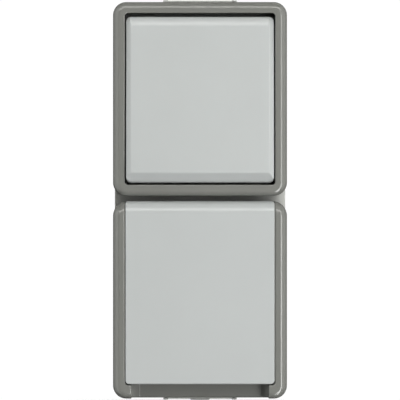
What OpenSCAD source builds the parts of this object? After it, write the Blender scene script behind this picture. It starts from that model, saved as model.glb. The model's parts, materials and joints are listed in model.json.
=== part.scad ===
// Two-gang surface wall unit: a tilting rocker switch above a hinged-lid
// earthed socket outlet. +Z is up, +X is to the right seen from the front,
// the front faces -Y, and the back face lies on the wall at y = 0.
// The origin is the middle of the back face.

/* [Overall] */
// Width of both cover frames
cover_w = 66; // [66:1:70]
// Width of the wall box behind the covers
base_w = 64.5; // [63:0.5:65]
// Height of the wall box, without the cable bosses
base_h = 148.9; // [148:0.1:149.4]
// Depth of the wall box up to its rim shoulder
base_d = 26; // [25:0.5:26.5]
// Depth from the wall to the front of the cover frames
cover_d = 52; // [51.5:0.25:52.5]
// Wall thickness of the box
base_wall = 2.2; // [1.8:0.1:2.4]

/* [Cover frames] */
// Top edge of the switch cover
sw_top = 75.2; // [74.8:0.1:75.6]
// Bottom edge of the switch cover
sw_bot = 1.7; // [1.3:0.01:1.8]
// Top edge of the socket cover
so_top = -0.35; // [-0.8:0.01:-0.3]
// Bottom edge of the socket cover
so_bot = -75.3; // [-75.6:0.1:-74.8]
// Outer corner radius of the covers in the front view
cover_r = 5; // [4:0.5:6]
// Rounding of the front edges of the covers
edge_r = 2.3; // [1.5:0.1:2.5]
// Half width of the openings in both covers
open_hw = 28.52; // [28.4:0.02:28.7]
// Top of the opening for the rocker
open_top = 71; // [70.6:0.1:71.2]
// Bottom of the opening for the rocker
open_bot = 5.84; // [5.6:0.02:6]

/* [Rocker] */
// Half width of the rocker
rocker_hw = 28.05; // [27.5:0.05:28.1]
// Half height of the rocker
rocker_hh = 31.45; // [30.5:0.05:31.5]
// Depth of the rocker front when it stands level
rocker_d = 53; // [52.5:0.25:53.5]
// Tilt each side of level
tilt = 3.5; // [2.5:0.25:3.5]

/* [Lid and socket] */
// Half width of the lid
lid_hw = 28.25; // [27.8:0.05:28.3]
// Bottom edge of the lid
lid_bot = -69.8; // [-70:0.05:-69.4]
// Outer radius of the rolled hinge edge
roll_r = 4.33; // [4.2:0.01:4.33]
// Thickness of the lid panel
lid_t = 1.9; // [1.7:0.1:1.9]
// Half width of the finger grip below the lid
grip_hw = 26.1; // [24:0.1:26.5]
// Height of the socket centre
so_z = -38; // [-38.5:0.5:-37.5]
// Inner radius of the plug recess
pot_r = 19.6; // [19.5:0.05:19.8]
// Depth of the plug recess
pot_depth = 17.5; // [17:0.1:17.5]
// Distance between the two pin holes
pin_pitch = 19; // [19:0.5:19.5]
// Radius of a pin hole
pin_hole_r = 2.6; // [2.5:0.05:2.7]

/* [Hidden] */

// Derived positions. d is the distance from the wall: y = -d.
cw = cover_w / 2;
bw = base_w / 2;
bh = base_h / 2;
cov_back = base_d + 0.8;      // rear edge of the covers
cell_hw = bw - base_wall;     // half width inside the box
tongue_t = 1.1;               // rim that stands inside the covers
sw_cell = [4.3, 72.25];       // inside of the switch cell, low and high
so_cell = [-72.25, -3.5];     // inside of the socket cell
shelf_d = 36;                 // rear of the shelf under the rocker
sz = 38.1;                    // height of the rocker axis
piv_d = 45;                   // depth of the rocker axis
lev_d = 20;                   // depth of the contact lever axis
lev_a = 7;                    // lever angle at rest
hz = so_top - roll_r;         // height of the lid hinge axis
hd = 48.2;                    // depth of the lid hinge axis
lid_d = hd + roll_r;          // front of the lid
plate_d = 47.5;               // front of the plate under the lid
face_d = 48.7;                // mouth of the plug recess
pot_floor = face_d - pot_depth;
post_r = 3.2;
grey = [0.50, 0.505, 0.485];
light = [0.76, 0.776, 0.772];
pale = [0.72, 0.725, 0.70];
rubber = [0.42, 0.42, 0.41];
black = [0.13, 0.13, 0.13];
steel = [0.72, 0.73, 0.74];
brass = [0.80, 0.66, 0.34];
e = 0.2;

// Corner points of a rectangle with rounded corners
function arc(cx, cy, r, a0, a1, n = 6) =
  [for (i = [0:n]) let (a = a0 + (a1 - a0) * i / n) [cx + r * cos(a), cy + r * sin(a)]];
function rr(x0, y0, x1, y1, r, n = 6) = concat(
  arc(x1 - r, y0 + r, r, -90, 0, n), arc(x1 - r, y1 - r, r, 0, 90, n),
  arc(x0 + r, y1 - r, r, 90, 180, n), arc(x0 + r, y0 + r, r, 180, 270, n));
// The same with two radii: ra at the low corners, rb at the high corners
function rr2(x0, y0, x1, y1, ra, rb, n = 6) = concat(
  arc(x1 - ra, y0 + ra, ra, -90, 0, n), arc(x1 - rb, y1 - rb, rb, 0, 90, n),
  arc(x0 + rb, y1 - rb, rb, 90, 180, n), arc(x0 + ra, y0 + ra, ra, 180, 270, n));

// Front-view outline pushed from depth d0 to d1
module yslab(d0, d1) translate([0, -d0, 0]) rotate([90, 0, 0]) linear_extrude(height = d1 - d0) children();
// Side-view outline (depth, height) pushed from x0 to x1
module xslab(x0, x1) translate([x0, 0, 0]) rotate([90, 0, 90]) linear_extrude(height = x1 - x0) mirror([1, 0]) children();
// Top-view outline (x, depth) pushed from z0 to z1
module zslab(z0, z1) translate([0, 0, z0]) linear_extrude(height = z1 - z0) mirror([0, 1]) children();
module box(x0, x1, d0, d1, z0, z1) translate([x0, -d1, z0]) cube([x1 - x0, d1 - d0, z1 - z0]);
module dcyl(x, z, d0, d1, r) translate([x, -d0, z]) rotate([90, 0, 0]) cylinder(h = d1 - d0, r = r, $fn = 48);
module xcyl(x0, x1, d, z, r) translate([x0, -d, z]) rotate([0, 90, 0]) cylinder(h = x1 - x0, r = r, $fn = 48);
module zcyl(x, d, z0, z1, r) translate([x, -d, z0]) cylinder(h = z1 - z0, r = r, $fn = 48);
// Turns its children about the X axis through (d, z)
module about_x(d, z, a) translate([0, -d, z]) rotate([a, 0, 0]) translate([0, d, -z]) children();

// Block with a rounded outline and rounded front edges:
// rs rounds the left and right front edges, rt the top one and rq the bottom one
module soft_block(x0, x1, z0, z1, d0, d1, ra, rb, rs, rt, rq = 0) {
  rl = rq > 0 ? rq : rt;
  intersection() {
    yslab(d0, d1) polygon(rr2(x0, z0, x1, z1, ra, rb));
    xslab(x0 - 1, x1 + 1) polygon(concat([[d0 - 1, z0], [d0 - 1, z1]],
      [for (i = [0:6]) [d1 - rt + rt * sin(i * 15), z1 - rt + rt * cos(i * 15)]],
      [for (i = [6:-1:0]) [d1 - rl + rl * sin(i * 15), z0 + rl - rl * cos(i * 15)]]));
    zslab(z0 - 1, z1 + 1) polygon(concat([[x0, d0 - 1], [x1, d0 - 1]],
      [for (i = [0:6]) [x1 - rs + rs * cos(i * 15), d1 - rs + rs * sin(i * 15)]],
      [for (i = [6:-1:0]) [x0 + rs - rs * cos(i * 15), d1 - rs + rs * sin(i * 15)]]));
  }
}

// Screw along the depth axis: seat is where the head sits
module screw(x, z, seat, tip, rh, hh, rs) {
  difference() {
    union() {
      dcyl(x, z, seat, seat + hh, rh);
      dcyl(x, z, tip, seat + e, rs);
    }
    for (a = [0, 90])
      translate([x, -(seat + hh), z]) rotate([0, a, 0]) cube([rh * 1.1, hh * 1.1, 0.7], center = true);
  }
}

// Coil spring along +Z of its own frame: wire radius w on radius r
module coil(r, w, pitch, turns, seg = 16, s = 6) {
  n = floor(turns * seg);
  pts = [for (i = [0:n], j = [0:s - 1])
    let (t = i * 360 / seg, a = j * 360 / s)
    [(r + w * cos(a)) * cos(t), (r + w * cos(a)) * sin(t), pitch * i / seg + w * sin(a)]];
  side = [for (i = [0:n - 1], j = [0:s - 1])
    [i * s + j, i * s + (j + 1) % s, (i + 1) * s + (j + 1) % s, (i + 1) * s + j]];
  polyhedron(points = pts, faces = concat(side,
    [[for (j = [s - 1:-1:0]) j]], [[for (j = [0:s - 1]) n * s + j]]), convexity = 10);
}

// ---------- wall box ----------
module base_box() color(pale) {
  difference() {
    union() {
      yslab(0, base_d) polygon(rr(-bw, -bh, bw, bh, 4.6));
      for (c = [sw_cell, so_cell])
        yslab(base_d - 1, base_d + 2.4)
          polygon(rr(-cell_hw - tongue_t, c[0] - tongue_t, cell_hw + tongue_t, c[1] + tongue_t, 2.6));
      // cable bosses, with a rib at each end
      box(-14.04, 14.04, 1.5, 24.5, bh - 1, 76.15);
      box(-14.04, 14.04, 1.5, 24.5, -75.8, -bh + 1);
      for (s = [-1, 1]) {
        box(s * 13.07 - 0.97, s * 13.07 + 0.97, 1.5, 24.5, bh - 1, 76.35);
        box(s * 13.07 - 0.97, s * 13.07 + 0.97, 1.5, 24.5, -76.1, -bh + 1);
      }
    }
    for (c = [sw_cell, so_cell])
      yslab(2.4, base_d + 3) polygon(rr(-cell_hw, c[0], cell_hw, c[1], 2.2));
    // hollow between the two cells, and the wire passage through it
    box(-cell_hw + 0.3, cell_hw - 0.3, 2.4, 23.8, so_cell[1] + 2, sw_cell[0] - 2);
    box(-8, 8, 6, 19, so_cell[1] - 1, sw_cell[0] + 1);
    // cable entries
    zcyl(0, 13, bh - 4, 77, 8.2);
    zcyl(0, 13, -77, -bh + 4, 8.2);
    // wall screw holes
    for (x = [-21.5, 21.5], z = [-52, 52]) dcyl(x, z, -1, 4, 2.4);
    // shallow round recesses that mark the two rear cable knock-outs
    for (z = [sz, so_z]) dcyl(0, z, -1, 0.8, 9);
  }
  // posts that carry the two frames and the two covers
  for (p = [[-25.6, sz, 31.8], [25.6, sz, 31.8], [20, sz - 27.5, 30], [-20, sz + 27.5, 30],
            [-26, so_z, 27.35], [26, so_z, 27.35], [-23.6, -16.5, 36], [23.6, -62.5, 36]])
    difference() {
      dcyl(p[0], p[1], 2.2, p[2], post_r);
      dcyl(p[0], p[1], p[2] - 11, p[2] + 1, 1.5);
    }
}

module top_cable_grommet() color(rubber) difference() {
  union() {
    zcyl(0, 13, 71.2, 75.95, 8.15);
    zcyl(0, 13, 70.2, 72.2, 9.6);
  }
  zcyl(0, 13, 69, 77, 5.25);
}

module bottom_cable_grommet() color(rubber) difference() {
  union() {
    zcyl(0, 13, -75.7, -71.2, 8.15);
    zcyl(0, 13, -72.2, -70.2, 9.6);
    zcyl(0, 13, -76.3, -75, 3.8);
  }
  zcyl(0, 13, -74.3, -69, 6.4);
}

module rim_gasket(c) yslab(base_d + 0.02, cov_back - 0.02) difference() {
  polygon(rr(-cell_hw - tongue_t - 0.95, c[0] - tongue_t - 0.95, cell_hw + tongue_t + 0.95, c[1] + tongue_t + 0.95, 3.5));
  polygon(rr(-cell_hw - tongue_t - 0.05, c[0] - tongue_t - 0.05, cell_hw + tongue_t + 0.05, c[1] + tongue_t + 0.05, 2.6));
}
module switch_cover_gasket() color(black) rim_gasket(sw_cell);
module socket_cover_gasket() color(black) rim_gasket(so_cell);

// ---------- switch half ----------
module switch_cover() color(grey) difference() {
  union() {
    difference() {
      soft_block(-cw, cw, sw_bot, sw_top, cov_back, cover_d, cover_r, cover_r, edge_r, edge_r);
      // room for the box rim, then the space behind the shelf
      yslab(cov_back - 1, 29.2) polygon(rr(-31.35, 3, 31.35, sw_top - 1.62, 2.8));
      yslab(28, shelf_d) polygon(rr(-30.6, 3.73, 30.6, sw_top - 2.4, 2.5));
      yslab(shelf_d + 2, cover_d + 1) polygon(rr(-open_hw, open_bot, open_hw, open_top, 1.3));
      box(-22.6, 22.6, 30, 40, sz - 22.6, sz + 22.6);
    }
    for (s = [-1, 1]) dcyl(-20 * s, sz + s * 27.5, 30.05, shelf_d + 0.5, post_r);
  }
  for (s = [-1, 1]) dcyl(-20 * s, sz + s * 27.5, 29, 40, 1.7);
}

module switch_cover_screws() color(steel)
  for (s = [-1, 1]) screw(-20 * s, sz + s * 27.5, shelf_d + 2.02, 21, 2.8, 1.9, 1.4);

module switch_rocker() color(light) about_x(piv_d, sz, -tilt) {
  difference() {
    soft_block(-rocker_hw, rocker_hw, sz - 0.3 - rocker_hh, sz - 0.3 + rocker_hh, 44.5, rocker_d, 2, 2, 2.6, 3.9);
    soft_block(-rocker_hw + 1.9, rocker_hw - 1.9, sz - 0.3 - rocker_hh + 1.9, sz - 0.3 + rocker_hh - 1.9, 40, rocker_d - 2, 0.8, 0.8, 1.2, 2.4);
  }
  // ribs that stand on the carrier, and the two clips beside it
  for (z = [-11, 11]) box(-14, 14, 48.52, 51.2, sz + z - 0.8, sz + z + 0.8);
  for (x = [-10, 10]) box(x - 0.8, x + 0.8, 48.52, 51.2, sz - 14, sz + 14);
  for (s = [-1, 1]) box(-5, 5, 44.6, 51.2, sz + s * 17.2 - 0.7, sz + s * 17.2 + 0.7);
}

module rocker_carrier() color(light) about_x(piv_d, sz, -tilt) difference() {
  union() {
    box(-16.8, 16.8, 46, 48.5, sz - 16, sz + 16);
    for (s = [-1, 1]) {
      box(s * 15.3 - 1.5, s * 15.3 + 1.5, 42.6, 46.5, sz - 3, sz + 3);
      xcyl(s * 18 - 1.7, s * 18 + 1.7, piv_d, sz, 2);
    }
    dcyl(0, sz, 33.5, 47, 3.3);
  }
  dcyl(0, sz, 30, 46.5, 2.1);
}

module rocker_seal() color(black) difference() {
  box(-24.4, 24.4, 38.02, 38.9, sz - 24.4, sz + 24.4);
  box(-20.2, 20.2, 37, 40, sz - 20.2, sz + 20.2);
}

module toggle_plunger() color(light) about_x(piv_d, sz, -tilt) {
  dcyl(0, sz, 26.2, 36, 2);
  translate([0, -26.2, sz]) sphere(r = 0.95, $fn = 32);
  dcyl(0, sz, 25.8, 26.5, 1.2);
}

module toggle_spring() color(steel) about_x(piv_d, sz, -tilt)
  translate([0, -36.35, sz]) rotate([90, 0, 0]) coil(1.55, 0.28, 1.55, 6, 14, 6);

module switch_insert() color([0.9, 0.9, 0.88]) difference() {
  union() {
    box(-20, 20, 9, 33.5, sz - 20, sz + 20);
    box(-21.9, 21.9, 33.07, 35.2, sz - 21.9, sz + 21.9);
    for (s = [-1, 1]) {
      box(s * 18.6 - 1.3, s * 18.6 + 1.3, 34, 45, sz - 3.6, sz + 3.6);
      xcyl(s * 18.6 - 1.3, s * 18.6 + 1.3, piv_d, sz, 3.6);
    }
  }
  for (s = [-1, 1]) xcyl(s * 18.6 - 2, s * 18.6 + 2, piv_d, sz, 2.05);
  // chamber of the lever, open to the front
  box(-4, 4, 10.2, 40, sz - 9.5, sz + 9.5);
  xcyl(-6.6, 6.6, lev_d, sz, 0.78);
  // terminal pockets, open to the back, with a way in for each screw
  for (s = [-1, 1]) {
    box(-5.2, 5.2, 8, 21, sz + s * 14 - 3.6, sz + s * 14 + 3.6);
    zcyl(0, 15, s > 0 ? sz + 16 : sz - 21, s > 0 ? sz + 21 : sz - 16, 2.5);
    box(-2.2, 2.2, 10.2, 14, sz + s * 10 - 1.2, sz + s * 10 + 1.2);
  }
}

module switch_support_frame() color(steel) difference() {
  yslab(31.85, 33.05) polygon(rr(-28.9, sz - 23.9, 28.9, sz + 23.9, 3));
  box(-20.2, 20.2, 30, 35, sz - 20.2, sz + 20.2);
  for (s = [-1, 1]) dcyl(s * 25.6, sz, 30, 35, 1.7);
}

module switch_frame_screws() color(steel)
  for (s = [-1, 1]) screw(s * 25.6, sz, 33.07, 23, 2.8, 1.9, 1.4);

// Tumbler: a notched head under the plunger and an arm that carries the contact
module contact_lever() color(brass) about_x(lev_d, sz, lev_a) difference() {
  xslab(-2.6, 2.6) polygon([[25.8, sz - 4], [25.8, sz - 3.2], [25, sz], [25.8, sz + 3.2], [25.8, sz + 4],
    [23.4, sz + 4], [20.6, sz + 1.9], [17.6, sz + 0.8], [10.6, sz + 0.8],
    [10.6, sz - 0.8], [17.6, sz - 0.8], [20.6, sz - 1.9], [23.4, sz - 4]]);
  xcyl(-4, 4, lev_d, sz, 0.8);
}
module moving_contact() color([0.85, 0.85, 0.84]) about_x(lev_d, sz, lev_a)
  zcyl(0, 12.4, sz + 0.8, sz + 1.7, 1.5);
module lever_pin() color(steel) xcyl(-6.5, 6.5, lev_d, sz, 0.75);

module fixed_contact() color(brass) union() {
  about_x(lev_d, sz, lev_a) {
    zcyl(0, 12.4, sz + 1.73, sz + 2.5, 1.5);
    xslab(-1.8, 1.8) polygon([[10.9, sz + 2.4], [14.2, sz + 2.4], [14.2, sz + 3.2], [10.9, sz + 3.2]]);
  }
  xslab(-1.8, 1.8) polygon([[11.9, sz + 3.2], [12.8, sz + 3.2], [12.8, sz + 11.2], [11.9, sz + 11.2]]);
}
module common_contact() color(brass)
  xslab(-1.8, 1.8) polygon([[11.4, sz - 11.2], [12.2, sz - 11.2], [12.2, sz - 4.6], [17.4, sz - 4.6], [17.4, sz - 3.8], [11.4, sz - 3.8]]);

module terminal(x, z, d, s) difference() {
  box(x - 4, x + 4, d - 4.2, d + 4.2, z - 2.7, z + 2.7);
  for (w = [-2, 2]) dcyl(x + w, z, d - 5, d + 2.5, 1.3);
  zcyl(x, d, s > 0 ? z - 0.5 : z - 4, s > 0 ? z + 4 : z + 0.5, 1.3);
}
module terminal_screw(x, z, d, s) difference() {
  union() {
    zcyl(x, d, s > 0 ? z + 0.2 : z - 2.8, s > 0 ? z + 2.8 : z - 0.2, 1.25);
    zcyl(x, d, s > 0 ? z + 2.75 : z - 4.4, s > 0 ? z + 4.4 : z - 2.75, 2.2);
  }
  box(x - 3, x + 3, d - 0.35, d + 0.35, s > 0 ? z + 3.7 : z - 5, s > 0 ? z + 5 : z - 3.7);
}
module switch_terminals() color(brass) for (s = [-1, 1]) terminal(0, sz + s * 14, 15, s);
module switch_terminal_screws() color(steel) for (s = [-1, 1]) terminal_screw(0, sz + s * 14, 15, s);

// ---------- socket half ----------
module socket_cover() color(grey) difference() {
  union() {
    difference() {
      soft_block(-cw, cw, so_bot, so_top, cov_back, cover_d, cover_r, 5.6, edge_r, roll_r, edge_r);
      // behind: room for the box rim, then the two steps of the inside
      yslab(cov_back - 1, 29.2) polygon(rr(-31.35, so_bot + 1.67, 31.35, so_top - 1.62, 2.8));
      yslab(28, 39.4) polygon(rr(-30.6, so_bot + 2.4, 30.6, so_top - 2.4, 2.5));
      yslab(38, plate_d - 2) polygon(rr(-26.4, -67.2, 26.4, -11.6, 2));
      // in front: the lid's bed, the hinge trough, and the finger grip
      yslab(plate_d, cover_d + 2) polygon(rr(-open_hw, -70.15, open_hw, -8, 1.2));
      box(-open_hw, open_hw, 43.5, cover_d + 2, -9.8, so_top + 1);
      zslab(so_bot - 2, -69.2) polygon([[grip_hw, cover_d + 2], [-grip_hw, cover_d + 2], [-grip_hw, cover_d],
        [-grip_hw + 2.8, 42.05], [-grip_hw + 3.2, 41.7], [grip_hw - 3.2, 41.7], [grip_hw - 2.8, 42.05], [grip_hw, cover_d]]);
      // hole of the plug recess
      dcyl(0, so_z, 40, 50, 22.2);
    }
    // hinge posts
    for (s = [-1, 1]) {
      xcyl(s * 19.3 - 2.3, s * 19.3 + 2.3, hd, hz, 2.2);
      xslab(s * 19.3 - 2.3, s * 19.3 + 2.3) polygon([[hd, hz - 2.2], [hd - 2, hz - 1.2], [43, hz - 2.6], [43, -10.2], [47.4, -10.2]]);
    }
    // screw bosses
    for (p = [[-23.6, -16.5], [23.6, -62.5]]) dcyl(p[0], p[1], 36.05, 46, post_r);
    // thin edge below the grip
    box(-grip_hw, grip_hw, 39, 41.7, -75.05, -72);
  }
  for (s = [-1, 1]) xcyl(s * 19.3 - 3, s * 19.3 + 3, hd, hz, 1.3);
  for (p = [[-23.6, -16.5], [23.6, -62.5]]) dcyl(p[0], p[1], 35, 49, 1.7);
  // the grip edge stands a little above the feet
  box(-grip_hw, grip_hw, 38, 60, so_bot - 1, -75.05);
}

module socket_cover_screws() color(steel)
  for (p = [[-23.6, -16.5], [23.6, -62.5]]) screw(p[0], p[1], plate_d + 0.02, 27, 2.8, 1.7, 1.4);

// Wall and flange of the plug recess, with keyways and the slots of the earth clips
module socket_face() color(grey) difference() {
  union() {
    dcyl(0, so_z, 47.55, face_d, 24.5);
    dcyl(0, so_z, pot_floor - 2.5, 48, 21.8);
  }
  dcyl(0, so_z, 20, 50, pot_r);
  for (s = [-1, 1]) {
    box(-3.5, 3.5, 33, 47, so_z + s * 20.4 - 2.2, so_z + s * 20.4 + 2.2);
    // side keyways for the plug
    box(s * 19.9 - 0.9, s * 19.9 + 0.9, 35, 50, so_z - 3, so_z + 3);
  }
}

// Floor of the recess with the two pin holes
module socket_floor() color(grey) difference() {
  dcyl(0, so_z, pot_floor - 2.5, pot_floor, pot_r - 0.05);
  for (s = [-1, 1]) dcyl(s * pin_pitch / 2, so_z, 25, 35, pin_hole_r);
  dcyl(0, so_z, 25, 35, 1.8);
}

module socket_insert() color([0.93, 0.92, 0.88]) difference() {
  union() {
    box(-18.6, 18.6, 9, 27.35, so_z - 16.5, so_z + 16.5);
    box(-17, 17, 27, 28.65, so_z - 15, so_z + 15);
  }
  for (s = [-1, 1]) dcyl(s * pin_pitch / 2, so_z, 11.5, 30, 3.6);
  dcyl(0, so_z, 18, 30, 1.5);
  for (p = [[-10, 1], [10, 1], [0, -1]]) {
    box(p[0] - 5.2, p[0] + 5.2, 8, 19.5, so_z + p[1] * 11 - 3.3, so_z + p[1] * 11 + 3.3);
    zcyl(p[0], 14, p[1] > 0 ? so_z + 13 : so_z - 17.5, p[1] > 0 ? so_z + 17.5 : so_z - 13, 2.5);
  }
}

module socket_support_frame() color(steel) difference() {
  yslab(27.4, 28.6) polygon(rr(-28.9, so_z - 26.5, 28.9, so_z + 26.5, 3));
  box(-17.3, 17.3, 26, 30, so_z - 15.3, so_z + 15.3);
  for (s = [-1, 1]) dcyl(s * 26, so_z, 26, 30, 1.7);
  // corners cleared for the cover's two screw bosses and posts
  for (p = [[-23.6, -16.5], [23.6, -62.5]]) dcyl(p[0], p[1], 26, 30, 4);
}

module socket_frame_screws() color(steel)
  for (s = [-1, 1]) screw(s * 26, so_z, 28.62, 18.5, 2.8, 1.9, 1.4);

module centre_screw() color(steel) screw(0, so_z, pot_floor + 0.02, 19, 3.1, 2, 1.4);

module sleeve(x) difference() {
  dcyl(x, so_z, 12, 28, 3.4);
  dcyl(x, so_z, 13.5, 29, 2.42);
  box(x - 0.4, x + 0.4, 17, 29, so_z - 4, so_z + 4);
}
module contact_sleeve_line() color(brass) sleeve(-pin_pitch / 2);
module contact_sleeve_neutral() color(brass) sleeve(pin_pitch / 2);

// Two sprung earth clips, riveted to the frame, that reach into the recess
module earth_contacts() color(steel) for (s = [-1, 1])
  xslab(-2.8, 2.8) polygon([for (p = [[28.62, 21.9], [28.62, 26], [29.4, 26], [29.4, 23.1], [44.6, 23.1],
    [44.9, 22.4], [40.4, 17], [35, 19.4], [35.2, 20.1], [40, 18], [43.7, 22.3], [29.4, 22.3], [29.4, 21.9]])
    [p[0], so_z + s * p[1]]]);

module socket_terminals() color(brass)
  for (p = [[-10, 1], [10, 1], [0, -1]]) terminal(p[0], so_z + p[1] * 11, 14, p[1]);
module socket_terminal_screws() color(steel)
  for (p = [[-10, 1], [10, 1], [0, -1]]) terminal_screw(p[0], so_z + p[1] * 11, 14, p[1]);

// Lid: flat panel, rolled top edge round the hinge, end discs and side skirts
module socket_lid() color(light) difference() {
  union() {
    difference() {
      intersection() {
        yslab(40, lid_d + 1) polygon(concat(
          arc(lid_hw - 1.6, lid_bot + 1.6, 1.6, -90, 0),
          [[lid_hw, so_top - 0.95], [lid_hw - 0.32, so_top - 0.35], [lid_hw - 1.1, so_top - 0.02], [lid_hw - 1.4, so_top + 1], [-lid_hw + 1.4, so_top + 1], [-lid_hw + 1.1, so_top - 0.02], [-lid_hw + 0.32, so_top - 0.35], [-lid_hw, so_top - 0.95]],
          arc(-lid_hw + 1.6, lid_bot + 1.6, 1.6, 180, 270)));
        xslab(-lid_hw, lid_hw) polygon(concat(
          [[48, lid_bot]], [[lid_d - 0.7, lid_bot]], [[lid_d - 0.2, lid_bot + 0.2], [lid_d, lid_bot + 0.7]],
          [for (i = [0:15]) [hd + roll_r * cos(i * 6), hz + roll_r * sin(i * 6)]],
          [[hd, hz + 2.43]], [[48, hz]]));
        zslab(lid_bot - 1, so_top + 1) polygon(concat([[lid_hw, 40], [-lid_hw, 40]],
          [for (i = [0:6]) [-lid_hw + 0.5 - 0.5 * cos(i * 15), lid_d - 0.5 + 0.5 * sin(i * 15)]],
          [for (i = [6:-1:0]) [lid_hw - 0.5 + 0.5 * cos(i * 15), lid_d - 0.5 + 0.5 * sin(i * 15)]]));
      }
      // hollow behind the panel and inside the roll
      box(-lid_hw + 1.65, lid_hw - 1.65, 40, hd + 2.43, lid_bot + 1.65, hz);
      xcyl(-lid_hw + 1.65, lid_hw - 1.65, hd, hz, 2.43);
      box(-lid_hw + 1.65, lid_hw - 1.65, 40, hd, hz, so_top + 1);
    }
    // end discs and hinge eyes
    for (s = [-1, 1]) {
      xcyl(s > 0 ? 22.2 : -lid_hw + 0.25, s > 0 ? lid_hw - 0.25 : -22.2, hd, hz, 4.2);
      box(s > 0 ? 26.6 : -lid_hw + 0.25, s > 0 ? lid_hw - 0.25 : -26.6, 48, 51, hz - 6, hz);
    }
  }
  xcyl(-26.4, 26.4, hd, hz, 1.3);
}

module lid_gasket() color(black) difference() {
  dcyl(0, so_z, 48.75, 50.6, 24);
  dcyl(0, so_z, 48, 51, 21.4);
}

module hinge_pin() color(steel) xcyl(-26.2, 26.2, hd, hz, 1.25);

module lid_spring() color(steel) translate([-5.2, -hd, hz]) rotate([0, 90, 0]) coil(1.66, 0.3, 0.8, 13, 14, 6);

base_box();
top_cable_grommet();
bottom_cable_grommet();
switch_cover_gasket();
socket_cover_gasket();
switch_cover();
switch_cover_screws();
switch_rocker();
rocker_carrier();
rocker_seal();
toggle_plunger();
toggle_spring();
switch_insert();
switch_support_frame();
switch_frame_screws();
contact_lever();
moving_contact();
lever_pin();
fixed_contact();
common_contact();
switch_terminals();
switch_terminal_screws();
socket_cover();
socket_cover_screws();
socket_face();
socket_floor();
socket_insert();
socket_support_frame();
socket_frame_screws();
centre_screw();
contact_sleeve_line();
contact_sleeve_neutral();
earth_contacts();
socket_terminals();
socket_terminal_screws();
socket_lid();
lid_gasket();
hinge_pin();
lid_spring();
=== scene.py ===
import json
import math

import bmesh
import bpy
from mathutils import Matrix, Vector


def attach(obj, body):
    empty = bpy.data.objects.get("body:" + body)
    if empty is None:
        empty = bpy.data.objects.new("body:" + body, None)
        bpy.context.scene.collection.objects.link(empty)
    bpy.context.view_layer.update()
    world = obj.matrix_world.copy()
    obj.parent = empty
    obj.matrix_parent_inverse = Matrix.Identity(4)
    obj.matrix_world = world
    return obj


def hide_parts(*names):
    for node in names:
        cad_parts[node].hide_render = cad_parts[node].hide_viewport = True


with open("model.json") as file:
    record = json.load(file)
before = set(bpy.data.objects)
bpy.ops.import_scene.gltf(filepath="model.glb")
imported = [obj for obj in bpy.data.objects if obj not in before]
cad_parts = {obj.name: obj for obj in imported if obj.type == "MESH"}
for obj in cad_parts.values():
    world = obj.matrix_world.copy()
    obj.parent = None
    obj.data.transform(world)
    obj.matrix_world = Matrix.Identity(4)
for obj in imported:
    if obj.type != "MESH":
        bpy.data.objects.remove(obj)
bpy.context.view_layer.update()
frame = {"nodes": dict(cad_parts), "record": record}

scene = bpy.context.scene
MM = 0.001

# ---------------------------------------------------------------- camera
cam_data = bpy.data.cameras.new("camera")
cam_data.sensor_width = 36
cam_data.lens = 1000
cam = bpy.data.objects.new("camera", cam_data)
scene.collection.objects.link(cam)
VIEW_H = 0.15172          # height of the picture at the front of the covers
FRONT_Y = -0.052
cam.location = (0.0, FRONT_Y - VIEW_H * cam_data.lens / cam_data.sensor_width, 0.00007)
cam.rotation_euler = (math.radians(90), 0, 0)
cam_data.clip_start, cam_data.clip_end = 0.1, 30
scene.camera = cam

# ---------------------------------------------------------------- dimensions, in mm
CW = 33.0                  # half width of the covers
OPEN = 28.52               # half width of both openings
SZ = 38.1                  # height of the rocker axis
PIV = 45.0                 # depth of the rocker axis
TILT = -3.5
SO_Z = -38.0               # height of the socket centre
SO_TOP, SO_BOT = -0.35, -75.3
SW_TOP, SW_BOT = 75.2, 1.7
ROLL = 4.33
HD, HZ = 48.2, SO_TOP - ROLL
COV_D, COV_BACK = 52.0, 26.8
SW_CELL, SO_CELL = (4.3, 72.25), (-72.25, -3.5)
CELL = 30.05
TAU = 2 * math.pi


def cs(deg):
    a = math.radians(deg)
    return math.cos(a), math.sin(a)


# ---------------------------------------------------------------- mesh helpers
def to_m(p):
    return (p[0] * MM, -p[1] * MM, p[2] * MM)


def new_object(name, bm, merge=2e-6):
    bmesh.ops.remove_doubles(bm, verts=bm.verts, dist=merge)
    bmesh.ops.dissolve_degenerate(bm, dist=1e-7, edges=bm.edges)
    bmesh.ops.recalc_face_normals(bm, faces=bm.faces)
    mesh = bpy.data.meshes.new(name)
    bm.to_mesh(mesh)
    bm.free()
    obj = bpy.data.objects.new(name, mesh)
    scene.collection.objects.link(obj)
    return obj


def loft(rings, cap0=True, cap1=True, closed=False, bm=None, loop=True):
    """Skin through rings of points (x, depth, z) in mm."""
    own = bm is None
    bm = bm or bmesh.new()
    vs = [[bm.verts.new(to_m(p)) for p in ring] for ring in rings]
    n = len(rings[0])
    pairs = [(i, i + 1) for i in range(len(rings) - 1)] + ([(len(rings) - 1, 0)] if closed else [])
    for a, b in pairs:
        for j in range(n if loop else n - 1):
            k = (j + 1) % n
            bm.faces.new((vs[a][j], vs[a][k], vs[b][k], vs[b][j]))
    if not closed:
        if cap0:
            bm.faces.new(list(reversed(vs[0])))
        if cap1:
            bm.faces.new(vs[-1])
    return bm


def solid(name, rings, **kw):
    return new_object(name, loft(rings, **kw))


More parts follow.
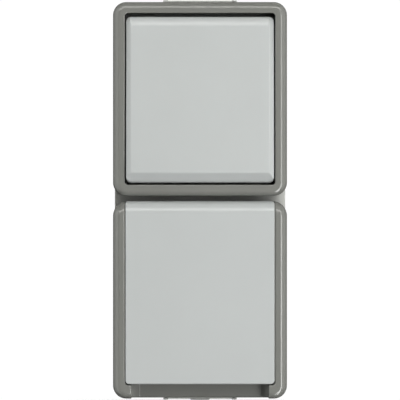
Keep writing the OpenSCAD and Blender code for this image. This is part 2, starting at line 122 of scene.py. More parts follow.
def ring(x0, x1, z0, z1, ra, rb, d, n=10, ix=0.0, it=0.0, iq=0.0, dt=None, dq=None):
    """Rounded rectangle at depth d. ix, it and iq move the sides, top and bottom inwards;
    dt and dq are the depths of the top and bottom where they differ from the sides."""
    dt = d if dt is None else dt
    dq = d if dq is None else dq
    pts = []
    for cx, cz, r, a0, iz, dz in (
        (x1 - ra, z0 + ra, ra, -90, iq, dq),
        (x1 - rb, z1 - rb, rb, 0, it, dt),
        (x0 + rb, z1 - rb, rb, 90, it, dt),
        (x0 + ra, z0 + ra, ra, 180, iq, dq),
    ):
        for i in range(n + 1):
            c, s = cs(a0 + 90 * i / n)
            w = s * s
            pts.append((cx + (r - ix) * c, d * (1 - w) + dz * w, cz + (r - iz) * s))
    return pts


def block(name, x0, x1, z0, z1, ra, rb, d0, d1, rs, rt, rq, back=0.3, n=12, k=9):
    """Block with a rounded outline, rounded front edges and a small rounding at the back."""
    rings = []
    for i in range(4):
        c, s = cs(90 * i / 3)
        rings.append(ring(x0, x1, z0, z1, ra, rb, d0 + back * (1 - s), n, back * (1 - c) if i else 0, 0, 0))
    rings = []
    for i in range(4):
        c, s = cs(90 * i / 3)
        o = back * (1 - s)
        rings.append(ring(x0, x1, z0, z1, ra, rb, d0 + back * (1 - c), n, o, o, o))
    for i in range(k + 1):
        c, s = cs(90 * i / k)
        rings.append(ring(x0, x1, z0, z1, ra, rb, d1 - rs * (1 - s), n, rs * (1 - c), rt * (1 - c), rq * (1 - c),
                          d1 - rt * (1 - s), d1 - rq * (1 - s)))
    return solid(name, rings)


def pocket(name, x0, x1, z0, z1, ra, rb, d0, d1, flare=0.0, floor_r=0.0, n=8, k=5):
    """Cutter for a pocket open to the front: floor_r rounds its floor edge, flare its mouth at depth d1."""
    rings = []
    if floor_r:
        for i in range(k + 1):
            c, s = cs(90 * i / k)
            rings.append(ring(x0, x1, z0, z1, ra, rb, d0 + floor_r * (1 - c), n, floor_r * (1 - s), floor_r * (1 - s), floor_r * (1 - s)))
    else:
        rings.append(ring(x0, x1, z0, z1, ra, rb, d0, n))
    if flare:
        for i in range(k + 1):
            c, s = cs(90 * i / k)
            o = -flare * (1 - c)
            rings.append(ring(x0, x1, z0, z1, ra, rb, d1 - flare * (1 - s), n, o, o, o))
        rings.append(ring(x0, x1, z0, z1, ra, rb, d1 + 3, n, -flare, -flare, -flare))
    else:
        rings.append(ring(x0, x1, z0, z1, ra, rb, d1, n))
    return solid(name, rings)


def back_pocket(name, x0, x1, z0, z1, ra, rb, d0, d1, n=8):
    return solid(name, [ring(x0, x1, z0, z1, ra, rb, d0, n), ring(x0, x1, z0, z1, ra, rb, d1, n)])


def brick(name, x0, x1, d0, d1, z0, z1, r=0.0):
    """Small block with all its edges rounded by r."""
    bm = bmesh.new()
    bmesh.ops.create_cube(bm, size=1)
    for v in bm.verts:
        v.co = Vector(to_m((x0 if v.co.x < 0 else x1, d0 if v.co.y > 0 else d1, z0 if v.co.z < 0 else z1)))
    if r:
        bmesh.ops.bevel(bm, geom=list(bm.edges), offset=r * MM, segments=3, profile=0.5, affect="EDGES", clamp_overlap=True)
    return new_object(name, bm)


def lathe(name, prof, axis="y", centre=(0, 0, 0), seg=64):
    """Turned solid. prof is a closed outline of (radius, along) in mm. Axis y runs along the depth
    through (x, -, z), axis x through (-, depth, z), axis z through (x, depth, -)."""
    bm = bmesh.new()
    cx, cd, cz = centre
    rows = []
    for r, h in prof:
        if r < 1e-9:
            p = {"y": (cx, h, cz), "x": (h, cd, cz), "z": (cx, cd, h)}[axis]
            rows.append([bm.verts.new(to_m(p))])
            continue
        row = []
        for i in range(seg):
            c, s = math.cos(TAU * i / seg), math.sin(TAU * i / seg)
            p = {"y": (cx + r * c, h, cz + r * s), "x": (h, cd + r * c, cz + r * s), "z": (cx + r * c, cd + r * s, h)}[axis]
            row.append(bm.verts.new(to_m(p)))
        rows.append(row)
    m = len(rows)
    for a in range(m):
        b = (a + 1) % m
        ra, rb = rows[a], rows[b]
        if len(ra) == 1 and len(rb) == 1:
            continue
        for i in range(seg):
            j = (i + 1) % seg
            if len(ra) == 1:
                bm.faces.new((ra[0], rb[j], rb[i]))
            elif len(rb) == 1:
                bm.faces.new((ra[i], ra[j], rb[0]))
            else:
                bm.faces.new((ra[i], ra[j], rb[j], rb[i]))
    return new_object(name, bm)


def rounded(points, seg=4):
    """Closed outline of (a, b, r): each corner is rounded by its own r."""
    out = []
    n = len(points)
    for i, (x, y, r) in enumerate(points):
        if r <= 0:
            out.append((x, y))
            continue
        p = Vector((x, y))
        a = (Vector(points[i - 1][:2]) - p)
        b = (Vector(points[(i + 1) % n][:2]) - p)
        la, lb = a.length, b.length
        a.normalize()
        b.normalize()
        half = a.angle(b) / 2
        t = min(r / math.tan(half), la * 0.49, lb * 0.49)
        r = t * math.tan(half)
        centre = p + (a + b).normalized() * (r / math.sin(half))
        s, e = p + a * t - centre, p + b * t - centre
        a0, a1 = math.atan2(s.y, s.x), math.atan2(e.y, e.x)
        da = (a1 - a0 + math.pi) % TAU - math.pi
        for k in range(seg + 1):
            q = a0 + da * k / seg
            out.append((centre.x + r * math.cos(q), centre.y + r * math.sin(q)))
    return out


def slab(name, outline, a0, a1, axis="x", edge=0.0):
    """Pushes an outline. Axis x: outline is (depth, z); axis y: (x, z); axis z: (x, depth). edge softens both ends."""
    def put(p, h):
        return {"x": (h, p[0], p[1]), "y": (p[0], h, p[1]), "z": (p[0], p[1], h)}[axis]

    def grow(o, by):
        n = len(o)
        area = sum(o[i][0] * o[(i + 1) % n][1] - o[(i + 1) % n][0] * o[i][1] for i in range(n))
        sg = 1 if area > 0 else -1
        out = []
        for i in range(n):
            p0, p, p1 = Vector(o[i - 1]), Vector(o[i]), Vector(o[(i + 1) % n])
            e0, e1 = (p - p0).normalized(), (p1 - p).normalized()
            n0, n1 = Vector((e0.y, -e0.x)) * sg, Vector((e1.y, -e1.x)) * sg
            m = n0 + n1
            if m.length < 1e-6:
                out.append(tuple(p))
                continue
            m = m.normalized()
            out.append(tuple(p + m * (by / max(0.4, m.dot(n0)))))
        return out

    rings = []
    if edge:
        for i in range(3):
            c, s = cs(45 * i)
            rings.append([put(p, a0 + edge * (1 - s)) for p in grow(outline, -edge * (1 - c))][::1])
        rings = []
        for i in range(4):
            c, s = cs(30 * i)
            rings.append([put(p, a0 + edge * (1 - s)) for p in grow(outline, -edge * (1 - c))])
        rings.reverse()
        rings = rings[:]
        tail = []
        for i in range(4):
            c, s = cs(30 * i)
            tail.append([put(p, a1 - edge * (1 - s)) for p in grow(outline, -edge * (1 - c))])
        rings = rings + tail
    else:
        rings = [[put(p, a0) for p in outline], [put(p, a1) for p in outline]]
    return solid(name, rings)


def evaluated(obj):
    bpy.context.view_layer.update()
    dg = bpy.context.evaluated_depsgraph_get()
    return bpy.data.meshes.new_from_object(obj.evaluated_get(dg))


def boolean(obj, other, op="DIFFERENCE"):
    others = other if isinstance(other, (list, tuple)) else [other]
    for o in others:
        mod = obj.modifiers.new("b", "BOOLEAN")
        mod.operation, mod.solver, mod.object = op, "EXACT", o
        mesh = evaluated(obj)
        obj.modifiers.clear()
        old = obj.data
        obj.data = mesh
        bpy.data.meshes.remove(old)
        bpy.data.objects.remove(o)
    return obj


def tidy(obj):
    """Merges what a boolean leaves behind and puts the mesh in order."""
    bm = bmesh.new()
    bm.from_mesh(obj.data)
    bmesh.ops.remove_doubles(bm, verts=bm.verts, dist=3e-6)
    bmesh.ops.dissolve_degenerate(bm, dist=1e-6, edges=bm.edges)
    flat = [v for v in bm.verts if len(v.link_edges) == 2]
    straight = [v for v in flat if (v.link_edges[0].other_vert(v).co - v.co).length > 1e-9
                and (v.link_edges[1].other_vert(v).co - v.co).length > 1e-9
                and (v.link_edges[0].other_vert(v).co - v.co).angle(v.link_edges[1].other_vert(v).co - v.co) > math.pi - 1e-3]
    bmesh.ops.dissolve_verts(bm, verts=straight)
    bmesh.ops.recalc_face_normals(bm, faces=bm.faces)
    bm.to_mesh(obj.data)
    bm.free()
    return obj


def turn_about_x(obj, d, z, deg):
    c = Vector(to_m((0, d, z)))
    obj.data.transform(Matrix.Translation(c) @ Matrix.Rotation(math.radians(deg), 4, "X") @ Matrix.Translation(-c))
    return obj


def join(name, objs):
    bm = bmesh.new()
    for o in objs:
        bm.from_mesh(o.data)
    for o in objs:
        bpy.data.objects.remove(o)
    mesh = bpy.data.meshes.new(name)
    bm.to_mesh(mesh)
    bm.free()
    obj = bpy.data.objects.new(name, mesh)
    scene.collection.objects.link(obj)
    return obj


def shade(obj, angle=38, weighted=True):
    for p in obj.data.polygons:
        p.use_smooth = True
    obj.data.set_sharp_from_angle(angle=math.radians(angle))
    if weighted:
        m = obj.modifiers.new("weighted", "WEIGHTED_NORMAL")
        m.keep_sharp = True
        m.mode = "FACE_AREA"
        m.weight = 50
    return obj


def piece(obj, name, mat, body="housing", nodes=None, angle=38):
    obj.name = name
    obj.data.name = name
    obj.data.materials.clear()
    obj.data.materials.append(mat)
    shade(obj, angle)
    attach(obj, body)
    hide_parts(*(nodes or [name.replace("_shell", "")]))
    return obj


# ---------------------------------------------------------------- materials
def srgb(r, g, b):
    def f(v):
        v /= 255
        return v / 12.92 if v <= 0.04045 else ((v + 0.055) / 1.055) ** 2.4
    return (f(r), f(g), f(b), 1)


class Nodes:
    def __init__(self, name):
        self.mat = bpy.data.materials.new(name)
        self.mat.use_nodes = True
        self.t = self.mat.node_tree
        self.bsdf = next(n for n in self.t.nodes if n.type == "BSDF_PRINCIPLED")
        self.coord = self.t.nodes.new("ShaderNodeTexCoord").outputs["Object"]

    def add(self, kind, **props):
        n = self.t.nodes.new(kind)
        for k, v in props.items():
            setattr(n, k, v)
        return n

    def link(self, a, b):
        self.t.links.new(a, b)

    def noise(self, scale, detail=3, rough=0.5, stretch=None, distortion=0.0):
        n = self.add("ShaderNodeTexNoise")
        n.inputs["Scale"].default_value = scale
        n.inputs["Detail"].default_value = detail
        n.inputs["Roughness"].default_value = rough
        n.inputs["Distortion"].default_value = distortion
        if stretch:
            m = self.add("ShaderNodeMapping")
            m.inputs["Scale"].default_value = stretch
            self.link(self.coord, m.inputs["Vector"])
            self.link(m.outputs["Vector"], n.inputs["Vector"])
        else:
            self.link(self.coord, n.inputs["Vector"])
        return n.outputs["Fac"]

    def voronoi(self, scale, feature="F1"):
        n = self.add("ShaderNodeTexVoronoi", feature=feature)
        n.inputs["Scale"].default_value = scale
        self.link(self.coord, n.inputs["Vector"])
        return n.outputs["Distance"]

    def ranged(self, value, lo, hi, a=0.3, b=0.7):
        n = self.add("ShaderNodeMapRange")
        n.inputs["From Min"].default_value = a
        n.inputs["From Max"].default_value = b
        n.inputs["To Min"].default_value = lo
        n.inputs["To Max"].default_value = hi
        self.link(value, n.inputs["Value"])
        return n.outputs["Result"]

    def mix(self, fac, a, b, mode="MIX"):
        n = self.add("ShaderNodeMix", data_type="RGBA", blend_type=mode)
        if isinstance(fac, float):
            n.inputs[0].default_value = fac
        else:
            self.link(fac, n.inputs[0])
        for socket, v in ((n.inputs[6], a), (n.inputs[7], b)):
            if isinstance(v, tuple):
                socket.default_value = v
            else:
                self.link(v, socket)
        return n.outputs[2]

    def maths(self, op, a, b):
        n = self.add("ShaderNodeMath", operation=op)
        for socket, v in ((n.inputs[0], a), (n.inputs[1], b)):
            if isinstance(v, (int, float)):
                socket.default_value = v
            else:
                self.link(v, socket)
        return n.outputs[0]

    def bump(self, height, strength, distance, normal=None):
        n = self.add("ShaderNodeBump")
        n.inputs["Strength"].default_value = strength
        n.inputs["Distance"].default_value = distance
        self.link(height, n.inputs["Height"])
        if normal is not None:
            self.link(normal, n.inputs["Normal"])
        return n.outputs["Normal"]

    def out(self, **sockets):
        for k, v in sockets.items():
            s = self.bsdf.inputs[k.replace("_", " ")]
            if isinstance(v, (int, float, tuple)):
                s.default_value = v
            else:
                self.link(v, s)
        return self.mat


def scaled(c, f):
    return (min(1, c[0] * f), min(1, c[1] * f), min(1, c[2] * f), 1)


def moulded(name, colour, rough=0.4, spread=0.03, grain=0.25, flecks=0.02, spec=0.6):
    """Moulded thermoplastic: spark-eroded grain, flow variation in tone and gloss, fine pigment flecks."""
    m = Nodes(name)
    broad = m.noise(38, 3, 0.55)
    flow = m.noise(16, 2, 0.5, (1, 1, 0.35), 0.6)
    tone = m.mix(m.ranged(broad, 0.0, 1.0), scaled(colour, 1 - flecks), scaled(colour, 1 + flecks))
    fleck = m.ranged(m.noise(5200, 2, 0.6), 0.0, 0.35, 0.62, 0.8)
    tone = m.mix(fleck, tone, scaled(colour, 0.93))
    gloss = m.maths("ADD", m.ranged(flow, rough - spread, rough + spread), m.ranged(m.noise(2600, 2, 0.5), -0.02, 0.02))
    grain_h = m.maths("ADD", m.noise(2900, 3, 0.55), m.maths("MULTIPLY", m.voronoi(4200), 0.5))
    normal = m.bump(grain_h, grain, 0.00006)
    return m.out(Base_Color=tone, Roughness=gloss, Normal=normal, Specular_IOR_Level=spec)


def rubber(name, colour, rough=0.6):
    m = Nodes(name)
    tone = m.mix(m.ranged(m.noise(120, 4, 0.6), 0.0, 1.0), scaled(colour, 0.85), scaled(colour, 1.2))
    bloom = m.ranged(m.noise(60, 5, 0.65), 0.0, 0.16, 0.5, 0.75)
    tone = m.mix(bloom, tone, scaled(colour, 1.9))
    gloss = m.ranged(m.noise(300, 3, 0.5), rough - 0.07, rough + 0.07)
    return m.out(Base_Color=tone, Roughness=gloss, Normal=m.bump(m.noise(3400, 3, 0.6), 0.3, 0.00006), Specular_IOR_Level=0.35)


def metal(name, colour, rough=0.3, lines=(1, 1, 40), scale=60, spread=0.08, tint=None):
    """Drawn, punched or plated metal: fine lines one way, cloudy plating, small dull spots."""
    m = Nodes(name)
    cloud = m.noise(90, 4, 0.6)
    tone = m.mix(m.ranged(cloud, 0.0, 1.0), scaled(colour, 0.86), scaled(colour, 1.08))
    if tint:
        tone = m.mix(m.ranged(m.noise(45, 3, 0.5), 0.0, 0.45, 0.45, 0.75), tone, tint)
    line = m.noise(scale, 4, 0.65, lines)
    gloss = m.maths("ADD", m.ranged(cloud, rough - spread, rough + spread), m.ranged(line, -0.05, 0.05))
    normal = m.bump(line, 0.18, 0.00005)
    normal = m.bump(m.noise(1600, 3, 0.6), 0.1, 0.00004, normal)
    return m.out(Base_Color=tone, Roughness=gloss, Normal=normal, Metallic=1.0)


MAT = {
    "cover_plastic": moulded("cover_plastic", srgb(125, 126, 121), 0.22, 0.02, 0.04),
    "base_plastic": moulded("base_plastic", srgb(189, 190, 185), 0.38, 0.03, 0.22),
    "light_plastic": moulded("light_plastic", srgb(189, 193, 192), 0.31, 0.02, 0.07, 0.012, 0.45),
    "insert_plastic": moulded("insert_plastic", srgb(226, 224, 214), 0.5, 0.05, 0.3, 0.03),
    "black_rubber": rubber("black_rubber", srgb(46, 46, 45)),
    "grey_rubber": rubber("grey_rubber", srgb(118, 118, 115), 0.62),
    "zinc_steel": metal("zinc_steel", srgb(196, 199, 201), 0.32, (1, 1, 1), 300, tint=srgb(176, 182, 196)),
    "spring_steel": metal("spring_steel", srgb(178, 180, 182), 0.26, (6, 60, 60), 30),
    "brass": metal("brass", srgb(206, 170, 96), 0.3, (1, 30, 1), 80, tint=srgb(178, 132, 78)),
    "silver_contact": metal("silver_contact", srgb(216, 216, 213), 0.35, (1, 1, 1), 200),
}

# ---------------------------------------------------------------- switch cover
def make_switch_cover():
    o = block("switch_cover_shell", -CW, CW, SW_BOT, SW_TOP, 5, 5, COV_BACK, COV_D, 2.55, 2.5, 2.1)
    cut = [
        back_pocket("c", -31.35, 31.35, 3.0, SW_TOP - 1.62, 2.8, 2.8, COV_BACK - 1, 29.2),
        back_pocket("c", -30.6, 30.6, 3.73, SW_TOP - 2.4, 2.5, 2.5, 28, 36),
        pocket("c", -OPEN, OPEN, 5.84, 71.0, 1.3, 1.3, 38, COV_D, 0.35, 0.35),
        back_pocket("c", -22.6, 22.6, SZ - 22.6, SZ + 22.6, 1.2, 1.2, 30, 44),
    ]
    boolean(o, cut)
    for s in (-1, 1):
        boolean(o, lathe("b", [(0, 30.05), (3.2, 30.05), (3.2, 36.6), (0, 36.6)], "y", (-20 * s, 0, SZ + s * 27.5), 32), "UNION")
        boolean(o, lathe("b", [(0, 29), (1.7, 29), (1.7, 40), (0, 40)], "y", (-20 * s, 0, SZ + s * 27.5), 32))
    return piece(tidy(o), "switch_cover_shell", MAT["cover_plastic"])


# ---------------------------------------------------------------- rocker
def bevel(width, slope, crease, edge, k=5):
    """Profile of a sloping band from the edge to the flat: (distance in from the edge, drop)."""
    c, s = cs(slope)
    run = width - crease * s - edge * (1 - s)
    total = crease * (1 - c) + run * s / c + edge * c
    pts = []
    for i in range(k + 1):
        cc, ss = cs((90 - slope) * i / k)
        pts.append((edge * (1 - cc), total - edge * ss))
    for i in range(1, 3):
        pts.append((pts[k][0] + run * i / 3, pts[k][1] - run * s / c * i / 3))
    for i in range(k + 1):
        cc, ss = cs(slope * (1 - i / k))
        pts.append((width - crease * ss, crease * (1 - cc)))
    return pts


def make_rocker():
    hx, hz, rc = 28.05, 31.45, 2.0
    mid = SZ - 0.3
    d1 = 53.0

    def outline(hx, hz, rho, m=3, n=6):
        quarter = [(hx, (hz - rho) * (0.6 + 0.4 * k / m)) for k in range(m)]
        for i in range(n + 1):
            cc, ss = cs(90 * i / n)
            quarter.append((hx - rho + rho * cc, hz - rho + rho * ss))
        quarter += [((hx - rho) * (1 - 0.4 * k / m), hz) for k in range(1, m + 1)]
        return (quarter + [(-x, z) for x, z in reversed(quarter)]
                + [(-x, -z) for x, z in quarter] + [(x, -z) for x, z in reversed(quarter)])

    def skin(hx, hz, side, top, low, rc, d1, back):
        """side, top and low are bevel profiles of equal length."""
        rings = [[(x, back, z) for x, z in outline(hx, hz, rc)]]
        for (us, ds), (ut, dt), (uq, dq) in zip(side, top, low):
            w, h = hx - us, hz - (ut + uq) / 2
            move = (uq - ut) / 2
            keep = 1 - us / side[-1][0]
            rho = max(0.25, rc * keep)
            ring = []
            for x, z in outline(w, h, rho):
                # share of the end's drop against the side's, by where the point lies round the corner
                tx, tz = max(0.0, abs(x) - (w - rho)), max(0.0, abs(z) - (h - rho))
                if tx + tz < 1e-9:
                    tx, tz = (1, 0) if abs(abs(x) - w) < 1e-6 else (0, 1)
                q = tz * tz / (tx * tx + tz * tz)
                ring.append((x, d1 - (ds * (1 - q) + (dt if z > 0 else dq) * q), z + move))
            rings.append(ring)
        return rings

    outer = skin(hx, hz, bevel(2.1, 30, 1.2, 0.5), bevel(3.9, 28, 7.0, 0.9), bevel(4.0, 35, 1.5, 1.6), rc, d1, 44.5)
    edge = 0.25
    first = outer[0]
    soft = []
    for i in range(3):
        c, s = cs(90 * i / 2)
        q = edge * (1 - s)
        soft.append([(x * (hx - q) / hx, 44.5 + edge * (1 - c), z * (hz - q) / hz) for x, _, z in first])
    outer = soft + outer[1:]
    o = solid("rocker", [[(x, d, z + mid) for x, d, z in r] for r in outer])
    inner = skin(hx - 1.9, hz - 1.9, bevel(1.4, 30, 1.0, 0.4), bevel(2.6, 28, 3.0, 0.7), bevel(2.8, 32, 1.2, 0.8), 0.8, d1 - 2, 40)
    boolean(o, solid("c", [[(x, d, z + mid) for x, d, z in r] for r in inner]))
    parts = []
    for z in (-11, 11):
        parts.append(brick("r", -14, 14, 48.52, 51.4, SZ + z - 0.8, SZ + z + 0.8))
    for x in (-10, 10):
        parts.append(brick("r", x - 0.8, x + 0.8, 48.52, 51.4, SZ - 14, SZ + 14))
    for s in (-1, 1):
        parts.append(brick("r", -5, 5, 44.6, 51.4, SZ + s * 17.2 - 0.7, SZ + s * 17.2 + 0.7))
    boolean(o, parts, "UNION")
    tidy(o)
    turn_about_x(o, PIV, SZ, TILT)
    return piece(o, "switch_rocker_shell", MAT["light_plastic"], "rocker")


# ---------------------------------------------------------------- socket cover
def make_socket_cover():
    k = 9
    o = block("socket_cover_shell", -CW, CW, SO_BOT, SO_TOP, 5, 5.6, COV_BACK, COV_D, 2.55, ROLL, 2.3, k=k)
    boolean(o, [
        back_pocket("c", -31.35, 31.35, SO_BOT + 1.67, SO_TOP - 1.62, 2.8, 2.8, COV_BACK - 1, 29.2),
        back_pocket("c", -30.6, 30.6, SO_BOT + 2.4, SO_TOP - 2.4, 2.5, 2.5, 28, 39.4),
        back_pocket("c", -26.4, 26.4, -67.2, -11.6, 2, 2, 38, 45.5),
    ])
    # bed of the lid, open at the top edge; its mouth follows the rounded top of the side bars
    zs, ds = [], []
    for i in range(k, -1, -1):
        c, s = cs(90 * i / k)
        zs.append(SO_TOP - ROLL * (1 - c))
        ds.append(COV_D - ROLL * (1 - s))
    zs.append(2.0)
    ds.append(ds[-1])

    half = 28.43

    def bed(off, fl, lift):
        """fl: how far the mouth has opened; off: how far below the surface."""
        r, x, pts = 1.2 + fl, half + fl, []
        for z, d in zip(zs, ds):
            pts.append((x, min(d, COV_D) - off + lift, z))
        for z, d in reversed(list(zip(zs, ds))):
            pts.append((-x, min(d, COV_D) - off + lift, z))
        for a0, cx in ((180, -half + 1.2), (270, half - 1.2)):
            for i in range(7):
                c, s = cs(a0 + 90 * i / 6)
                pts.append((cx + r * c, COV_D - off + lift, -70.15 + 1.2 + r * s))
        return pts

    f = 0.5
    rings = [[(x, 47.5, z) for x, d, z in bed(0, -0.3, 0)],
             [(x, 47.8, z) for x, d, z in bed(0, 0, 0)]]
    low = bed(f, 0, 0)
    rings.append([(x, max(d, 47.9), z) for x, d, z in low])
    for i in range(1, 6):
        c, s = cs(90 * i / 5)
        rings.append([(x, max(d, 47.9 + 0.02 * i), z) for x, d, z in bed(f * (1 - s), f * (1 - c), 0)])
    rings.append([(x, COV_D + 3, z) for x, d, z in bed(0, f, 0)])
    boolean(o, solid("c", rings))
    boolean(o, brick("c", -OPEN, OPEN, 43.5, 48.6, -9.8, 2.0))
    # finger grip, its end walls leaning outwards
    g, gi = 26.1, 23.1
    out = []
    for i in range(6):
        c, s = cs(90 * i / 5)
        out.append((g + f * (1 - c), COV_D - f * (1 - s)))
    foot = rounded([(-gi, 41.7, 0.45), (gi, 41.7, 0.45), (g, 52, 0), (-g, 52, 0)], 4)
    side = [p for p in foot if p[1] < 45]
    prof = [(g + f, COV_D + 3)] + out[::-1] + [p for p in side if p[0] > 0][::-1] + [p for p in side if p[0] < 0][::-1]
    prof += [(-x, d) for x, d in out] + [(-g - f, COV_D + 3)]
    boolean(o, slab("c", prof, -78, -69.2, "z"))
    # thin lower edge of the grip, a little above the feet
    boolean(o, slab("c", rounded([(20, -75.05 + 0.001, 0), (41.7 - 0.45, -75.05, 0), (41.7, -74.6, 0), (60, -74.6, 0), (60, -80, 0), (20, -80, 0)]), -g + 0.02, g - 0.02, "x"))
    # round opening for the plug recess
    boolean(o, lathe("c", [(0, 40), (22.2, 40), (22.2, 47.1), (22.6, 47.5), (22.6, 50), (0, 50)], "y", (0, 0, SO_Z), 96))
    for s in (-1, 1):
        x = s * 19.3
        post = slab("p", rounded([(HD, HZ - 2.2, 0), (HD - 2, HZ - 1.2, 0.4), (43.2, HZ - 2.6, 0), (43.2, -10.4, 0), (47.3, -10.4, 0)], 3), x - 2.3, x + 2.3, "x")
        boolean(post, lathe("p", [(0, x - 2.3), (2.2, x - 2.3), (2.2, x + 2.3), (0, x + 2.3)], "x", (0, HD, HZ), 40), "UNION")
        boolean(o, post, "UNION")
        boolean(o, lathe("c", [(0, x - 3), (1.3, x - 3), (1.3, x + 3), (0, x + 3)], "x", (0, HD, HZ), 32))
    for px, pz in ((-23.6, -16.5), (23.6, -62.5)):
        boolean(o, lathe("b", [(0, 36.05), (3.2, 36.05), (3.2, 46), (0, 46)], "y", (px, 0, pz), 32), "UNION")
        boolean(o, lathe("b", [(0, 35), (1.7, 35), (1.7, 49), (0, 49)], "y", (px, 0, pz), 32))
    return piece(tidy(o), "socket_cover_shell", MAT["cover_plastic"])


# ---------------------------------------------------------------- lid
def make_lid():
    hw, bot, d1, rs, rq = 28.28, -69.8, HD + ROLL, 0.25, 0.5
    flat0 = HZ                      # where the roll begins

    def drop(u, r):
        u = min(max(u, 0.0), r)
        return r - math.sqrt(max(0.0, r * r - u * u))

    def depth(x, z):
        v = drop(abs(x) - (hw - rs), rs)
        w = drop(z - flat0, ROLL)
        q = drop((bot + rq) - z, rq)
        return d1 - min(v + w + q, ROLL)

    def loop(c, m=10, n=7):
        """Outline with the side inset by rs, the bottom by rq and the top by the roll."""
        ex = hw - rs * (1 - c)
        eb = bot + rq * (1 - c)
        et = SO_TOP - ROLL * (1 - c)
        rho = 0.9 * c + 0.7
        top_r = 1.1 * c
        pts = []
        # right side, from the low corner up
        for i in range(n + 1):
            cc, ss = cs(-90 + 90 * i / n)
            pts.append((ex - rho + rho * cc, eb + rho + rho * ss))
        for i in range(m + 1):
            a = 90 * i / m
            s = math.sin(math.radians(a)) * c
            pts.append((ex, flat0 + (ROLL * c - top_r) * math.sin(math.radians(a))))
        for a in (22.5, 45, 67.5, 90):
            cc, ss = cs(a)
            pts.append((ex - top_r + top_r * cc, et - top_r + top_r * ss))
        left = [(-x, z) for x, z in reversed(pts)]
        return pts + left

    rings = []
    base = loop(1)
    for i in range(3):
        c, s = cs(90 * i / 2)
        q = 0.25 * (1 - s)
        rings.append([(x * (hw - q) / hw, 48.0 + 0.25 * (1 - c), z + (q if z < -60 else 0)) for x, z in base])
    k = 10
    for i in range(k + 1):
        c, s = cs(90 * i / k)
        rings.append([(x, max(depth(x, z), 48.26), z) for x, z in loop(c)])
    o = solid("lid", rings)
    iw = hw - 1.65
    prof = rounded([(40, -68, 0), (50.63, -68, 0.9), (50.63, HZ, 0)], 4)
    for i in range(1, 9):
        c, s = cs(90 * i / 8)
        prof.append((HD + 2.43 * c, HZ + 2.43 * s))
    prof += [(HD, 0.6), (40, 0.6)]
    boolean(o, slab("c", prof, -iw, iw, "x"))
    for s in (-1, 1):
        x0, x1 = (22.2, hw - 0.25) if s > 0 else (-hw + 0.25, -22.2)
        boolean(o, lathe("k", rounded([(0, x0, 0), (4.2, x0, 0.35), (4.2, x1, 0.35), (0, x1, 0)], 3), "x", (0, HD, HZ), 56), "UNION")
        x0, x1 = (26.6, hw - 0.25) if s > 0 else (-hw + 0.25, -26.6)
        boolean(o, brick("k", x0, x1, 48.02, 51, HZ - 6, HZ), "UNION")
    boolean(o, lathe("c", [(0, -26.4), (1.3, -26.4), (1.3, 26.4), (0, 26.4)], "x", (0, HD, HZ), 32))
    return piece(tidy(o), "socket_lid_shell", MAT["light_plastic"], "lid")


